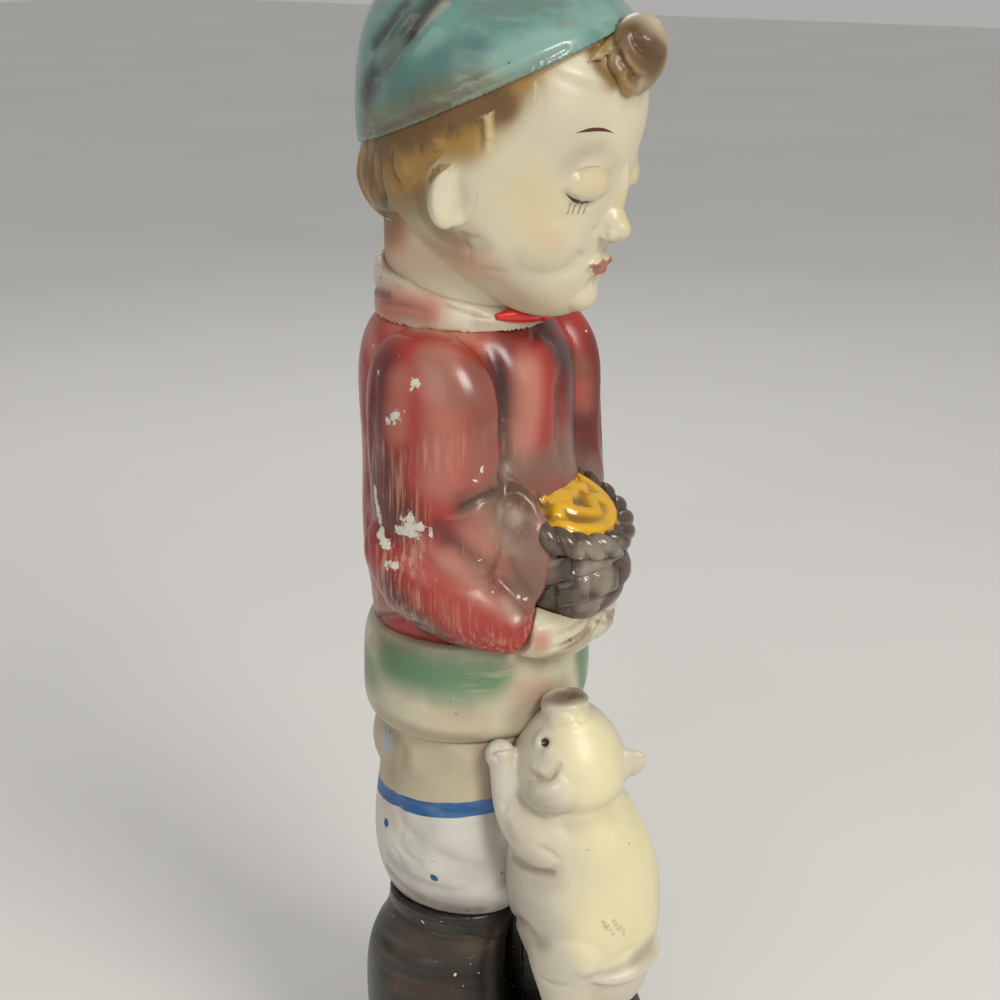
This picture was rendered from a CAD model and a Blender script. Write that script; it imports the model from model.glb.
import math
import bpy
import numpy as np
from mathutils import Matrix, Vector
from mathutils.bvhtree import BVHTree


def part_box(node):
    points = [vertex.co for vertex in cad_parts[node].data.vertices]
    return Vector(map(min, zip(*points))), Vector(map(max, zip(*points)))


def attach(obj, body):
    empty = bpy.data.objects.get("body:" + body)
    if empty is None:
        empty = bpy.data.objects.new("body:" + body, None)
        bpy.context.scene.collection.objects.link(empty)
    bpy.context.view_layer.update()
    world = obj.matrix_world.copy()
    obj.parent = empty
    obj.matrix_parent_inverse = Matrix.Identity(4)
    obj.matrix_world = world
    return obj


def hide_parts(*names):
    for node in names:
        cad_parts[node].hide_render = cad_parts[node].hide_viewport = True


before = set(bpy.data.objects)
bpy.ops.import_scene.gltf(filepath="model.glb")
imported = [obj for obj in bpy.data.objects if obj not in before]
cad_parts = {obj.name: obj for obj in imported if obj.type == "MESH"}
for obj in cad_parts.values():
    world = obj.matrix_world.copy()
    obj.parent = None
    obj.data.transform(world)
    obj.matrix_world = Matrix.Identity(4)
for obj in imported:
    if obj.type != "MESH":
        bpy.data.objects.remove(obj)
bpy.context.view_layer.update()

mm = 0.001
clay = {}  # what the tools and sprays know of each piece: points, normals, coat of colour

# Colours as they look in daylight, 0 to 255
paints = {
    "teal": (96, 138, 130), "tealDeep": (54, 92, 90), "tealPale": (150, 182, 170),
    "soot": (58, 54, 48), "umber": (92, 66, 44), "olive": (128, 112, 70), "rose": (186, 112, 92),
    "ivory": (208, 200, 172), "ivoryWarm": (212, 192, 144), "bone": (208, 198, 176),
    "ochre": (146, 112, 54), "gold": (158, 124, 56), "hairBrown": (94, 66, 34),
    "red": (156, 46, 36), "redPale": (198, 142, 122), "maroon": (82, 26, 24), "scarlet": (214, 40, 22),
    "mauve": (126, 98, 84), "taupe": (78, 62, 50), "bark": (58, 44, 37), "barkPale": (176, 160, 144),
    "yellow": (226, 172, 4), "honey": (112, 76, 14),
    "green": (74, 120, 84), "cream": (186, 175, 147), "hem": (196, 189, 162),
    "white": (206, 203, 193), "grey": (168, 162, 156),
    "blue": (22, 84, 140), "bluePale": (146, 170, 198),
    "boot": (24, 18, 14), "bootPale": (82, 66, 48), "earth": (70, 52, 38),
    "hog": (206, 198, 176), "hogYellow": (228, 219, 174), "plaster": (212, 205, 192),
    "felt": (34, 66, 44), "feltPale": (58, 96, 66),
}


# One of the paints as Blender's linear colour
def paint(name):
    return [(c / 255 / 12.92 if c < 10 else ((c / 255 + 0.055) / 1.055) ** 2.4) for c in paints[name]]


# Camera
view = {"axisBack": 16, "away": 553, "aside": 8, "height": 440, "heading": (0.848, 0.53),
        "pitch": 19.4, "focal": 1700, "frame": 1000, "sensor": 36, "nearest": 0.01}


def addCamera():
    headX, headY = view["heading"]
    along = Vector((headX, headY, 0))
    right = Vector((headY, -headX, 0))
    foot = Vector((0, view["axisBack"], 0))
    place = foot - along * view["away"] + right * view["aside"] + Vector((0, 0, view["height"]))
    tilt = math.radians(view["pitch"])
    ahead = along * math.cos(tilt) - Vector((0, 0, math.sin(tilt)))
    camera = bpy.data.objects.new("camera", bpy.data.cameras.new("camera"))
    bpy.context.scene.collection.objects.link(camera)
    camera.location = place * mm
    camera.rotation_euler = ahead.to_track_quat("-Z", "Y").to_euler()
    camera.data.sensor_width = view["sensor"]
    camera.data.lens = view["sensor"] * view["focal"] / view["frame"]
    camera.data.clip_start = view["nearest"]
    bpy.context.scene.camera = camera
    return camera.location.copy(), ahead, right, right.cross(ahead)


eye, eyeAhead, eyeRight, eyeUp = addCamera()
print("camera in place")


# Forming
def deselect():
    if bpy.context.object and bpy.context.object.mode != "OBJECT":
        bpy.ops.object.mode_set(mode="OBJECT")
    bpy.ops.object.select_all(action="DESELECT")


def only(piece):
    deselect()
    piece.select_set(True)
    bpy.context.view_layer.objects.active = piece


# A merged copy of a CAD node's mesh, to model from
def copyNode(name):
    copy = bpy.data.objects.new(name + "Form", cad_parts[name].data.copy())
    bpy.context.scene.collection.objects.link(copy)
    copy.data.materials.clear()
    only(copy)
    bpy.ops.object.mode_set(mode="EDIT")
    bpy.ops.mesh.select_all(action="SELECT")
    bpy.ops.mesh.remove_doubles(threshold=0.00001)
    bpy.ops.object.mode_set(mode="OBJECT")
    return copy


# A standing place in millimetres: turned about x, then about y, then about z
def turned(place, tilt=(0, 0, 0)):
    spin = Matrix.Rotation(math.radians(tilt[2]), 4, "Z") @ Matrix.Rotation(math.radians(tilt[1]), 4, "Y")
    return Matrix.Translation(Vector(place)) @ spin @ Matrix.Rotation(math.radians(tilt[0]), 4, "X")


# A ball pressed to a size, added to a form before it is remeshed. Lengths are millimetres
def lump(place, size, turn=(0, 0, 0), within=None):
    deselect()
    bpy.ops.mesh.primitive_uv_sphere_add(segments=32, ring_count=20, radius=1)
    ball = bpy.context.object
    stand = (within or Matrix.Identity(4)) @ turned(place, turn)
    ball.data.transform(Matrix.Scale(mm, 4) @ stand @ Matrix.Diagonal((*(Vector(size) / 2), 1)))
    return ball


def applyModifier(piece, kind, **settings):
    only(piece)
    modifier = piece.modifiers.new(kind.lower(), kind)
    for key, value in settings.items():
        setattr(modifier, key, value)
    bpy.ops.object.modifier_apply(modifier=modifier.name)


# Joins copies of CAD nodes and lumps into one skin, softens it and stands it in their place
def form(name, nodes, work, lumps=()):
    parts = [copyNode(node) for node in nodes] + list(lumps)
    deselect()
    for part in parts:
        part.select_set(True)
    bpy.context.view_layer.objects.active = parts[0]
    if len(parts) > 1:
        bpy.ops.object.join()
    piece = parts[0]
    piece.name = name
    piece.data.name = name
    applyModifier(piece, "REMESH", mode="VOXEL", voxel_size=work["voxel"] * mm)
    applyModifier(piece, "SMOOTH", factor=0.5, iterations=work["smooth"])
    piece.data.shade_smooth()
    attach(piece, "root")
    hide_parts(*nodes)
    takeUp(piece)
    return piece


# Reads a piece's points and normals, so that it can be tooled and sprayed
def takeUp(piece):
    mesh = piece.data
    count = len(mesh.vertices)
    points = np.empty(count * 3)
    normals = np.empty(count * 3)
    mesh.vertices.foreach_get("co", points)
    mesh.vertices.foreach_get("normal", normals)
    old = clay.get(piece.name, {})
    clay[piece.name] = {
        "points": points.reshape(-1, 3), "normals": normals.reshape(-1, 3),
        "tree": BVHTree.FromObject(piece, bpy.context.evaluated_depsgraph_get()),
        "push": np.zeros(count), "coat": old.get("coat", np.ones((count, 3))),
        "marks": old.get("marks", {}),
    }


# Moves the points by what the tools have pressed and raised
def settle(piece):
    held = clay[piece.name]
    moved = held["points"] + held["normals"] * held["push"][:, None]
    piece.data.vertices.foreach_set("co", moved.ravel())
    piece.data.update()
    bpy.context.view_layer.update()
    takeUp(piece)


# A piece's points in a standing place's own millimetres
def localPoints(piece, stand):
    into = np.array(stand.inverted() @ Matrix.Scale(1 / mm, 4))
    return clay[piece.name]["points"] @ into[:3, :3].T + into[:3, 3]


# How far each point of a piece is from the nearest of some spots, in millimetres
def farFrom(piece, spots):
    points = clay[piece.name]["points"]
    return np.min([np.linalg.norm(points - np.array(spot), axis=1) for spot in spots], axis=0) / mm


# Where a value stands between two others, from 0 to 1
def between(value, low, high):
    return np.clip((value - low) / (high - low), 0, 1)


# The same share with a soft start and end
def eased(share):
    return share * share * (3 - 2 * share)


# Places
# Points of a piece that the camera sees at these pixels of the photograph
def seen(piece, *pixels):
    spots = []
    half = view["frame"] / 2
    for x, y in pixels:
        ray = eyeAhead + eyeRight * (x - half) / view["focal"] + eyeUp * (half - y) / view["focal"]
        ray.normalize()
        tree = clay[piece.name]["tree"]
        hit = tree.ray_cast(eye, ray)[0]
        if hit is None:  # just past the outline: the nearest point of the piece
            reach = (Vector((0, view["axisBack"], 0)) * mm - eye).dot(Vector((ray.x, ray.y, 0)))
            flat = Vector((ray.x, ray.y, 0)).length_squared
            middle = eye + ray * (reach / flat)
            for _ in range(4):
                near = tree.find_nearest(middle)[0]
                middle = eye + ray * (near - eye).dot(ray)
            hit = near
        spots.append(hit)
    return spots


# Points of a piece from outside: degrees from the front towards the child's right, and height
def around(piece, *places):
    spots = []
    away, back = 0.2, 0.16  # metres from the axis, and back towards it where nothing is hit
    for turn, height in places:
        turn = math.radians(turn)
        out = Vector((-math.sin(turn), -math.cos(turn), 0))
        start = Vector((0, view["axisBack"], height)) * mm + out * away
        tree = clay[piece.name]["tree"]
        hit = tree.ray_cast(start, -out)[0]
        spots.append(hit or tree.find_nearest(start - out * back)[0])
    return spots


# The same points on the child's other side
def flip(spots):
    return [Vector((-spot[0], spot[1], spot[2])) for spot in spots]


# A smooth line through the spots, with a point every gap millimetres or so
def curve(spots, gap=0.7):
    spots = [np.array(spot) for spot in spots]
    if len(spots) == 1:
        return np.array(spots)
    ends = [2 * spots[0] - spots[1]] + spots + [2 * spots[-1] - spots[-2]]
    line = []
    for a, b, c, d in zip(ends, ends[1:], ends[2:], ends[3:]):
        steps = max(2, int(np.linalg.norm(c - b) / (gap * mm)))
        t = (np.arange(steps) / steps)[:, None]
        line.append(0.5 * (2 * b + (c - a) * t + (2 * a - 5 * b + 4 * c - d) * t ** 2
                           + (3 * b - a - 3 * c + d) * t ** 3))
    return np.vstack(line + [spots[-1][None]])


# Reach and softness of a tool in widths, lift of a line in metres, gap of a spray in millimetres
touch = {"reach": 2.2, "soft": 0.6, "lift": 0.003, "gap": 1.5}


# How the piece's points lie to a line drawn on it: which are near, how far, facing it, and where along it
def across(piece, spots, reach, gap=0.7):
    held = clay[piece.name]
    line = curve(spots, gap)
    outward = [held["tree"].find_nearest(Vector(spot))[1] for spot in spots]
    lean = curve([Vector(spot) + out * touch["lift"] for spot, out in zip(spots, outward)], gap)
    if len(lean) != len(line):  # the raised line may have a few more points: it is read by its share
        lean = lean[np.linspace(0, len(lean) - 1, len(line)).round().astype(int)]
    landed = [held["tree"].find_nearest(Vector(p)) for p in lean]
    line = np.array([hit[0] for hit in landed])
    normals = np.array([hit[1] for hit in landed])
    low, high = line.min(0) - reach, line.max(0) + reach
    near = np.where(((held["points"] > low) & (held["points"] < high)).all(1))[0]
    points = held["points"][near]
    centre = line.mean(0)
    a, b = points - centre, line - centre
    squares = (a ** 2).sum(1)[:, None] + (b ** 2).sum(1)[None] - 2 * a @ b.T
    best = squares.argmin(1)
    far = np.sqrt(np.maximum(squares[np.arange(len(near)), best], 0))
    facing = np.clip((held["normals"][near] * normals[best]).sum(1) * 2, 0, 1)
    share = best / (len(line) - 1) if len(line) > 1 else np.full(len(near), 0.5)
    return near, far, facing, share


# Presses (depth below 0) or raises a line or spot. The taper is the share of a line that fades at each end
def tool(piece, spots, width, depth, taper=0.3):
    width, depth = width * mm, depth * mm
    near, far, facing, share = across(piece, spots, width * touch["reach"])
    ends = np.clip(np.minimum(share, 1 - share) / taper, 0, 1)
    rise = np.exp(-(far / (width * touch["soft"])) ** 2)
    clay[piece.name]["push"][near] += depth * ends * facing * rise


# Lays a soft coat of one of the paints along a line or on a spot
def spray(piece, spots, colour, width, amount, core=0.15):
    near, far, facing = across(piece, spots, width * mm, touch["gap"])[:3]
    fade = np.clip((1 - far / (width * mm)) / (1 - core), 0, 1)
    cover = (amount * eased(fade) * facing)[:, None]
    coat = clay[piece.name]["coat"]
    coat[near] = coat[near] * (1 - cover) + np.array(paint(colour)) * cover


# Raises one of the piece's marks, such as chips or streaks, along a line or on a spot
def mark(piece, name, spots, width, core=0.2):
    marks = clay[piece.name]["marks"].setdefault(name, np.zeros(len(clay[piece.name]["points"])))
    near, far, facing = across(piece, spots, width * mm, touch["gap"])[:3]
    fade = np.clip((1 - far / (width * mm)) / (1 - core), 0, 1) * facing
    marks[near] = np.maximum(marks[near], fade)


# Softens a piece near some lines, as a wet finger does
def ease(piece, lines, turns):
    for spots, width in lines:
        mark(piece, "ease", spots, width, core=0.4)
    levels = 10
    share = np.round(np.clip(clay[piece.name]["marks"].pop("ease"), 0, 1) * levels)
    group = piece.vertex_groups.new(name="ease")
    for level in range(1, levels + 1):
        group.add(np.where(share == level)[0].tolist(), level / levels, "REPLACE")
    applyModifier(piece, "SMOOTH", factor=0.5, iterations=turns, vertex_group="ease")
    piece.vertex_groups.clear()
    takeUp(piece)


def basecoat(piece, colour):
    clay[piece.name]["coat"] = np.tile(np.array(paint(colour)), (len(clay[piece.name]["points"]), 1))


# Lays a paint over the whole piece, by a share for each of its points
def blendCoat(piece, colour, share):
    held = clay[piece.name]
    held["coat"] = held["coat"] * (1 - share[:, None]) + np.array(paint(colour)) * share[:, None]


# Lets a wash of paint gather where the tools have pressed the surface in, as on the real cast
def crevices(piece, colour, amount, low, high):
    blendCoat(piece, colour, between(-clay[piece.name]["push"] / mm, low, high) * amount)


# Keeps the coat and the marks in the mesh, where the materials read them
def dry(piece):
    held = clay[piece.name]
    count = len(held["points"])
    colours = np.ones((count, 4))
    colours[:, :3] = np.clip(held["coat"], 0, 1)
    layer = piece.data.attributes.new("coat", "FLOAT_COLOR", "POINT")
    layer.data.foreach_set("color", colours.astype(np.float32).ravel())
    for name, values in held["marks"].items():
        layer = piece.data.attributes.new(name, "FLOAT", "POINT")
        layer.data.foreach_set("value", values.astype(np.float32))
    print(piece.name, len(piece.data.polygons), "faces")


# Runs one piece's table of tool lines: width, depth and pixels, or degrees and heights
def handWork(piece, work):
    for key in ("lines", "bothSides", "roundLines"):
        find = around if key == "roundLines" else seen
        for width, depth, places in work.get(key, ()):
            spots = find(piece, *places)
            tool(piece, spots, width, depth)
            if key == "bothSides":
                tool(piece, flip(spots), width, depth)


# Runs one piece's tables of sprays: paint, width, amount and pixels, or degrees and heights
def coats(piece, work, keys=("sprays", "bothSprays", "roundSprays")):
    for key in keys:
        find = around if key == "roundSprays" else seen
        for colour, width, amount, places in work.get(key, ()):
            spots = find(piece, *places)
            spray(piece, spots, colour, width, amount)
            if key == "bothSprays":
                spray(piece, flip(spots), colour, width, amount)


# Finishes
# A material's nodes, added one by one
class Graph:
    def __init__(self, name):
        self.material = bpy.data.materials.new(name)
        self.material.use_nodes = True
        self.tree = self.material.node_tree
        self.shader = self.tree.nodes["Principled BSDF"]

    def add(self, kind, **inputs):
        node = self.tree.nodes.new("ShaderNode" + kind)
        for key, value in inputs.items():
            self.plug(node, key, value)
        return node

    def plug(self, node, key, value):
        socket = node.inputs[int(key[1:])] if key[0] == "i" and key[1:].isdigit() else node.inputs[key]
        if isinstance(value, bpy.types.NodeSocket):
            self.tree.links.new(value, socket)
        else:
            socket.default_value = value

    def sum(self, operation, a, b=0.0, clamp=False):
        node = self.add("Math", i0=a, i1=b)
        node.operation = operation
        node.use_clamp = clamp
        return node.outputs[0]

    def mix(self, share, a, b, blend="MIX"):
        node = self.tree.nodes.new("ShaderNodeMix")
        node.data_type = "RGBA"
        node.blend_type = blend
        self.plug(node, "i0", share)
        self.plug(node, "i6", a)
        self.plug(node, "i7", b)
        return node.outputs[2]

    def ramp(self, value, low, high, start=0.0, end=1.0):
        node = self.add("MapRange", i0=value, i1=low, i2=high, i3=start, i4=end)
        node.interpolation_type = "SMOOTHSTEP"
        return node.outputs[0]

    def stored(self, name):
        node = self.tree.nodes.new("ShaderNodeAttribute")
        node.attribute_name = name
        return node

    def place(self, scale=(1, 1, 1), turn=(0, 0, 0), location=(0, 0, 0), kind="POINT"):
        source = self.tree.nodes.new("ShaderNodeTexCoord").outputs["Object"]
        node = self.add("Mapping", Vector=source)
        node.vector_type = kind
        node.inputs["Location"].default_value = location
        node.inputs["Rotation"].default_value = [math.radians(t) for t in turn]
        node.inputs["Scale"].default_value = scale
        return node.outputs[0]

    def noise(self, vector, scale, detail=3.0, rough=0.5):
        return self.add("TexNoise", Vector=vector, Scale=scale, Detail=detail, Roughness=rough).outputs[0]

    # A mark that the tools left on the piece
    def mark(self, name):
        return self.stored(name).outputs["Fac"]

    # A noise as a shift to both sides of nothing
    def wander(self, noise, reach):
        return self.sum("MULTIPLY", self.sum("SUBTRACT", noise, 0.5), reach)

    def times(self, *values):
        product = values[0]
        for value in values[1:]:
            product = self.sum("MULTIPLY", product, value)
        return product

    # A colour made lighter or darker by a tone round 1
    def shade(self, colour, tone):
        even = self.add("CombineColor", i0=tone, i1=tone, i2=tone).outputs[0]
        return self.mix(1.0, colour, even, "MULTIPLY")


def colour4(name):
    return (*paint(name), 1)


# What a finish has unless its piece's table says otherwise
glazeLook = {"mottleScale": 55, "mottle": 0.08, "mottled": (0.3, 0.7), "grainScale": 420, "grain": 0.12,
             "speckEdge": 0.02, "bump": 0.5, "bumpHeight": 0.0003, "coat": 0.0, "coatRough": 0.2}
streakLook = {"patchScale": 38, "patch": (0.42, 0.62), "low": 0.48, "high": 0.68, "relief": 0.25,
              "topFade": 0.02}


# Paint over plaster: the sprayed coat with mottling, brush streaks, chips, specks and sheen
def glaze(name, finish, extra=None):
    g = Graph(name)
    finish = {**glazeLook, **finish}
    plain = g.place()
    mottle = g.noise(plain, finish["mottleScale"], 4)
    tone = g.ramp(mottle, *finish["mottled"], 1 - finish["mottle"], 1 + finish["mottle"])
    colour = g.shade(g.stored("coat").outputs["Color"], tone)
    height = g.times(g.noise(plain, finish["grainScale"], 3), finish["grain"])
    if "streak" in finish:
        streak = {**streakLook, **finish["streak"]}
        lines = g.noise(g.place(streak["scale"]), streak["size"], 5, 0.65)
        patch = g.ramp(g.noise(plain, streak["patchScale"], 2), *streak["patch"])
        share = g.times(g.ramp(lines, streak["low"], streak["high"]), patch, streak["amount"])
        if "below" in streak:  # up there the surface turns over, and brush marks would show end on
            level = g.add("SeparateXYZ", Vector=plain).outputs[2]
            share = g.times(share, g.ramp(level, streak["below"], streak["below"] - streak["topFade"]))
        if "marked" in streak:
            share = g.times(share, g.mark(streak["marked"]))
        colour = g.mix(share, colour, colour4(streak["paint"]))
        height = g.sum("ADD", height, g.times(lines, streak["relief"]))
    if extra:
        colour = extra(g, colour)
    for speckPaint, size, few in finish.get("specks", ()):
        speck = g.ramp(g.noise(plain, size, 1), few, few + finish["speckEdge"])
        colour = g.mix(speck, colour, colour4(speckPaint))
    roughness = g.ramp(mottle, *finish["mottled"], *finish["rough"])
    if "chips" in finish:
        chips = finish["chips"]
        chip = g.mark("chip")
        ragged = g.wander(g.noise(plain, chips["scale"], 6, 0.75), chips["ragged"])
        bare = g.times(g.ramp(g.sum("ADD", chip, ragged), *chips["edge"]), g.ramp(chip, *chips["start"]))
        colour = g.mix(bare, colour, colour4("plaster"))
        roughness = g.sum("ADD", roughness, g.times(bare, chips["rough"]), clamp=True)
        height = g.sum("SUBTRACT", height, g.times(bare, chips["depth"]))
    bump = g.add("Bump", Height=height, Distance=finish["bumpHeight"], Strength=finish["bump"])
    g.plug(g.shader, "Normal", bump.outputs[0])
    g.plug(g.shader, "Base Color", colour)
    g.plug(g.shader, "Roughness", roughness)
    g.shader.inputs["Coat Weight"].default_value = finish["coat"]
    g.shader.inputs["Coat Roughness"].default_value = finish["coatRough"]
    return g.material


def wear(piece, material):
    piece.data.materials.clear()
    piece.data.materials.append(material)


# Pad, base and mound
feltLook = {"voxel": 0.9, "smooth": 1, "fibres": 900, "paleFrom": 0.35, "paleTo": 0.7,
            "rough": 0.95, "sheen": 0.3, "bump": 0.8, "bumpHeight": 0.0006}


def makePad():
    pad = form("feltPad", ["felt_pad"], feltLook)
    basecoat(pad, "felt")
    dry(pad)
    g = Graph("felt")
    fibres = g.noise(g.place(), feltLook["fibres"], 6, 0.8)
    pale = g.ramp(fibres, feltLook["paleFrom"], feltLook["paleTo"])
    g.plug(g.shader, "Base Color", g.mix(pale, g.stored("coat").outputs["Color"], colour4("feltPale")))
    g.shader.inputs["Roughness"].default_value = feltLook["rough"]
    g.shader.inputs["Sheen Weight"].default_value = feltLook["sheen"]
    bump = g.add("Bump", Height=fibres, Distance=feltLook["bumpHeight"], Strength=feltLook["bump"])
    g.plug(g.shader, "Normal", bump.outputs[0])
    wear(pad, g.material)


makePad()

groundWork = {
    "voxel": 1.1, "smooth": 3, "lumpSizes": (7, 13, 24), "waves": 5, "relief": 0.7, "seed": 3,
    # a shallow furrow round the base, broken like turned soil
    "roundLines": [(2.4, -0.8, [(turn, 8), (turn + 9, 7), (turn + 17, 8.5)]) for turn in range(0, 360, 24)],
    "wash": ("boot", 0.8, 0.1, 0.8),
    "dark": {"from": 20, "to": 50, "amount": 0.75},
    "finish": {"rough": (0.35, 0.6), "mottle": 0.25, "grain": 0.4, "bump": 0.8,
               "specks": [("bone", 320, 0.76)],
               "streak": {"scale": (1, 1, 5), "size": 60, "amount": 0.35, "paint": "bootPale"}},
}


# Uneven ground: soft lumps of a few sizes, the same on every run
def roughen(piece, work):
    held = clay[piece.name]
    draw = np.random.default_rng(work["seed"])
    wave = 6.28
    total = np.zeros(len(held["points"]))
    for size in work["lumpSizes"]:
        for _ in range(work["waves"]):
            heading = draw.normal(size=3)
            heading /= np.linalg.norm(heading)
            phase = draw.uniform(0, wave)
            total += np.sin(held["points"] @ heading * (wave / (size * mm)) + phase) * size
    total /= np.abs(total).max()
    held["push"] += total * work["relief"] * mm


def makeGround():
    ground = form("groundAndMound", ["base", "ground_mound"], groundWork)
    basecoat(ground, "earth")
    roughen(ground, groundWork)
    handWork(ground, groundWork)
    crevices(ground, *groundWork["wash"])
    dark = groundWork["dark"]
    high = between(clay[ground.name]["points"][:, 2] / mm, dark["from"], dark["to"])
    blendCoat(ground, "boot", eased(high) * dark["amount"])
    settle(ground)
    dry(ground)
    wear(ground, glaze("groundPaint", groundWork["finish"]))


makeGround()

# Boots
bootWork = {
    "voxel": 0.95, "smooth": 3,
    "lines": [
        (4.0, 1.2, [(389, 880), (400, 900), (430, 915), (470, 922), (500, 922)]),
        (2.2, -0.9, [(389, 897), (402, 915), (432, 930), (472, 938), (505, 937)]),
        (3.0, -0.8, [(377, 930), (400, 948), (440, 958), (480, 958)]),
        (3.0, 0.7, [(380, 945), (410, 964), (450, 972), (490, 970)]),
        (2.4, -0.7, [(378, 968), (405, 982), (445, 990), (495, 988)]),
    ],
    "roundLines": [
        (3.0, -0.9, [(-40, 92), (-80, 90), (-120, 92), (-160, 90)]),
        (3.0, 0.8, [(-30, 86), (-80, 83), (-130, 86)]),
        (3.0, -0.8, [(-30, 62), (-70, 58), (-120, 62), (-150, 60)]),
        (2.6, -0.7, [(60, 42), (90, 38), (120, 42), (150, 40)]),
        (2.6, -0.7, [(-60, 42), (-90, 39), (-130, 43)]),
        (2.6, -0.7, [(125, 92), (150, 90), (170, 93)]),
    ],
    "sprays": [
        ("bootPale", 9, 0.45, [(400, 945), (440, 955), (480, 950)]),
        ("bootPale", 6, 0.35, [(395, 915), (440, 940), (490, 945)]),
        ("umber", 8, 0.35, [(400, 985), (450, 995)]),
    ],
    "roundSprays": [
        ("bootPale", 10, 0.35, [(-70, 75), (-100, 73), (-130, 75)]),
        ("bootPale", 8, 0.3, [(-20, 40), (20, 42)]),
        ("umber", 8, 0.35, [(180, 60), (200, 58)]),
    ],
    "finish": {"rough": (0.28, 0.42), "mottle": 0.3, "grain": 0.25, "bump": 0.6, "coat": 0.15,
               "specks": [("plaster", 240, 0.745), ("bone", 420, 0.77)],
               "streak": {"scale": (1, 1, 11), "size": 45, "amount": 0.5, "paint": "bootPale"}},
}


def makeBoots():
    boots = form("pairOfBoots", ["boot_right", "boot_left"], bootWork)
    basecoat(boots, "boot")
    handWork(boots, bootWork)
    coats(boots, bootWork)
    settle(boots)
    dry(boots)
    wear(boots, glaze("bootPaint", bootWork["finish"]))


makeBoots()

# Trousers
trouserWork = {
    "voxel": 0.85, "smooth": 3,
    "lines": [
        (3.0, -0.9, [(391, 787), (398, 808), (408, 830), (425, 842)]),
        (6.0, 0.9, [(385, 820), (392, 845), (402, 862)]),
        (3.2, -0.7, [(430, 848), (455, 862), (485, 866)]),
        (2.8, -1.2, [(393, 862), (412, 878), (440, 889), (470, 893)]),
        (2.0, -0.9, [(396, 840), (410, 856), (428, 866)]),
        (1.8, -0.8, [(388, 838), (398, 854), (404, 870)]),
        (7.0, 0.8, [(405, 850), (440, 872), (475, 880)]),
        (2.6, -0.9, [(400, 735), (404, 752), (400, 768)]),
        (5.0, 0.8, [(411, 738), (414, 756), (409, 774)]),
        (3.6, -1.3, [(387, 716), (388, 735), (390, 755), (391, 775), (396, 792)]),
        (1.8, -0.45, [(396, 812), (402, 826), (399, 842)]),
        (2.2, -0.35, [(450, 740), (465, 752), (485, 757)]),
    ],
    "roundLines": [
        (3.0, -0.8, [(180, 165), (182, 140), (179, 112)]),
        (3.0, -0.9, [(-130, 145), (-110, 136), (-85, 133)]),
        (3.0, -0.8, [(-120, 112), (-90, 110), (-60, 113)]),
        (5.0, 0.8, [(-100, 124), (-80, 121)]),
        (3.0, -0.7, [(-60, 160), (-50, 145), (-56, 132)]),
        (3.0, -0.7, [(140, 118), (160, 112), (176, 114)]),
        (3.0, -0.7, [(-150, 120), (-165, 113), (-176, 114)]),
    ],
    "sprays": [
        ("olive", 9, 0.28, [(396, 738), (400, 758), (392, 772)]),
        ("mauve", 7, 0.5, [(398, 712), (430, 725), (470, 737), (500, 742)]),
        ("mauve", 6, 0.55, [(484, 745), (488, 790), (494, 840), (505, 880)]),
        ("grey", 6, 0.55, [(391, 858), (412, 880), (440, 896), (480, 905)]),
        ("umber", 3.5, 0.5, [(388, 868), (410, 890), (440, 905), (480, 910)]),
        ("rose", 8, 0.2, [(386, 800), (394, 820)]),
        ("grey", 7, 0.35, [(425, 842), (460, 862), (490, 868)]),
        ("bluePale", 5, 0.75, [(383, 722), (386, 742)]),
    ],
    "roundSprays": [
        ("mauve", 8, 0.5, [(-20, 168), (-60, 170), (-100, 170), (-150, 170), (-179, 169)]),
        ("mauve", 8, 0.5, [(110, 168), (140, 170), (170, 170)]),
        ("grey", 9, 0.5, [(110, 105), (150, 104), (180, 105), (210, 104), (260, 106), (300, 106)]),
        ("rose", 12, 0.2, [(-90, 130), (-110, 128)]),
        ("olive", 9, 0.25, [(-100, 155), (-120, 150)]),
    ],
    "lateSprays": [("taupe", 9, 0.45, [(386, 884), (420, 903), (460, 912), (492, 912)])],
    "band": {"width": 5.4, "height": 151.0, "slope": (0.11, -0.11), "creamFade": 3, "soft": 0.15,
             "waveScale": 60, "wave": 1.6, "paleScale": 70, "pale": (0.35, 0.7), "paleAmount": 0.25},
    "diamonds": [(434, 878), (386, 822)],
    "roundDiamonds": [(-70, 122), (-120, 118), (-150, 138), (160, 122), (-40, 112), (-95, 141)],
    "diamond": {"scale": 260, "ragged": 1.6, "edge": (1.75, 1.45)},
    "finish": {"rough": (0.38, 0.52), "mottle": 0.07, "grain": 0.3, "bump": 0.7, "mottleScale": 70,
               "specks": [("umber", 330, 0.775)],
               "streak": {"scale": (1, 1, 4), "size": 70, "amount": 0.35, "paint": "grey"}},
}


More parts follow.
